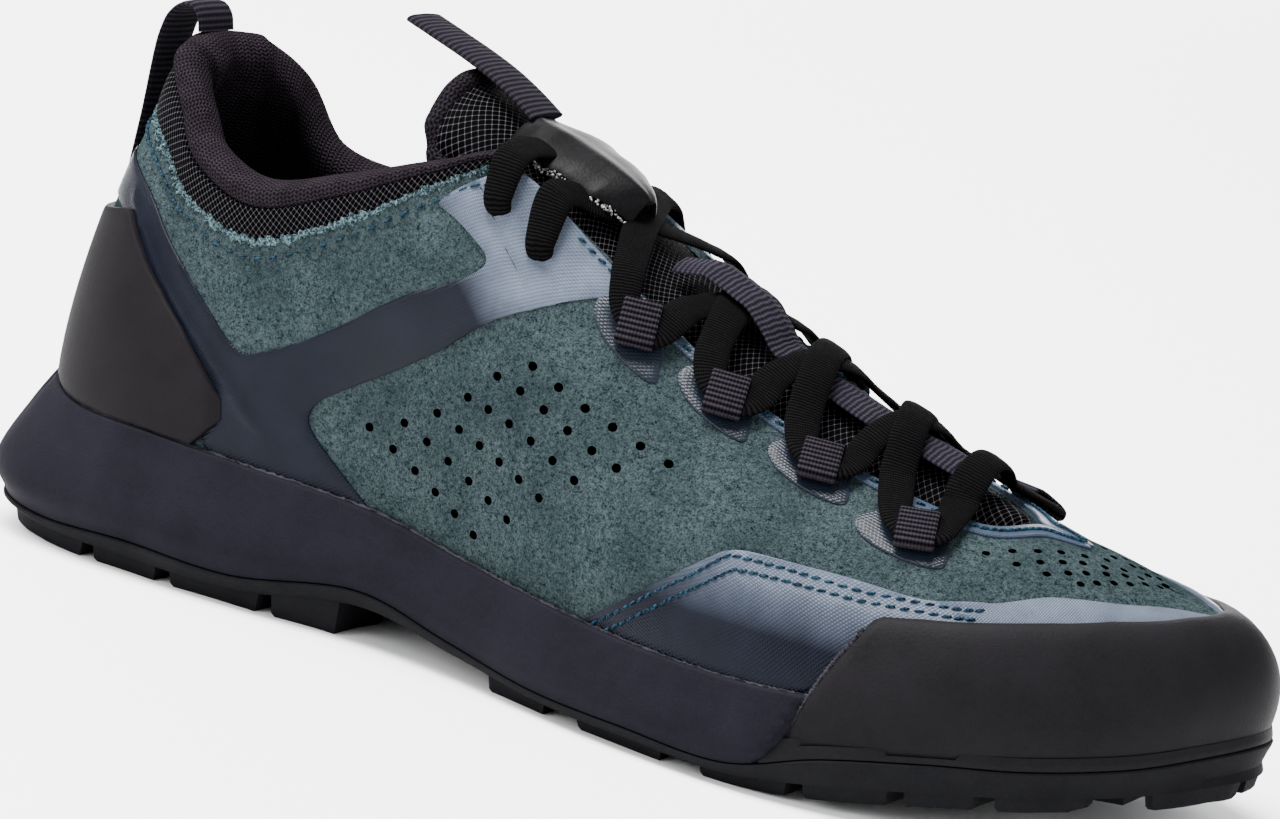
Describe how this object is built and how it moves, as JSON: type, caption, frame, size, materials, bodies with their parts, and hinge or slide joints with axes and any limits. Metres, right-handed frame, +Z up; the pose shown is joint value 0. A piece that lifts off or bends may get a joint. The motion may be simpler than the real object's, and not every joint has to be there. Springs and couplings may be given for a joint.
{
  "type": "approach shoe",
  "caption": "Low-cut approach shoe for the right foot with a suede upper, padded collar, lugged rubber outsole, rubber toe rand and flat laces through webbing loops.",
  "frame": {"origin": "middle of the bounding box on the floor, under the middle of the sole", "axes": "+X to the toe, +Y to the inner (medial) side of this right shoe, +Z up; the lugs stand on z = 0"},
  "size_m": [0.2918, 0.105, 0.1256],
  "materials": {
    "rubber": "matte moulded rubber",
    "rand": "matte rubber with a fine texture",
    "foam": "smooth foam skin",
    "insole": "knit over foam",
    "suede": "brushed nap",
    "counter": "matte moulded shell",
    "film": "laminated film over a woven cloth",
    "mesh": "open spacer mesh",
    "patch": "smooth coated patch",
    "webbing": "ribbed webbing",
    "lace": "flat knit lace"
  },
  "bodies": {
    "root": {"outsole": "rubber", "midsole": "foam", "insole": "insole", "upper": "suede", "toe_cap": "rand", "heel_counter": "counter", "heel_film": "film", "forefoot_film": "film", "collar": "mesh", "tongue": "mesh", "side_film_outer": "film", "lace_loop_outer_1": "webbing", "lace_loop_outer_2": "webbing", "lace_loop_outer_3": "webbing", "lace_loop_outer_4": "webbing", "side_film_inner": "film", "lace_loop_inner_1": "webbing", "lace_loop_inner_2": "webbing", "lace_loop_inner_3": "webbing", "lace_loop_inner_4": "webbing", "lace_crossing_1": "lace", "lace_crossing_2": "lace", "lace_crossing_3": "lace", "lace_crossing_top": "lace", "lace_bar_front": "lace", "lace_bar_top": "lace", "tongue_strip": "webbing", "pull_tab": "webbing", "tongue_patch": "patch", "heel_loop": "webbing"}
  },
  "joints": []
}
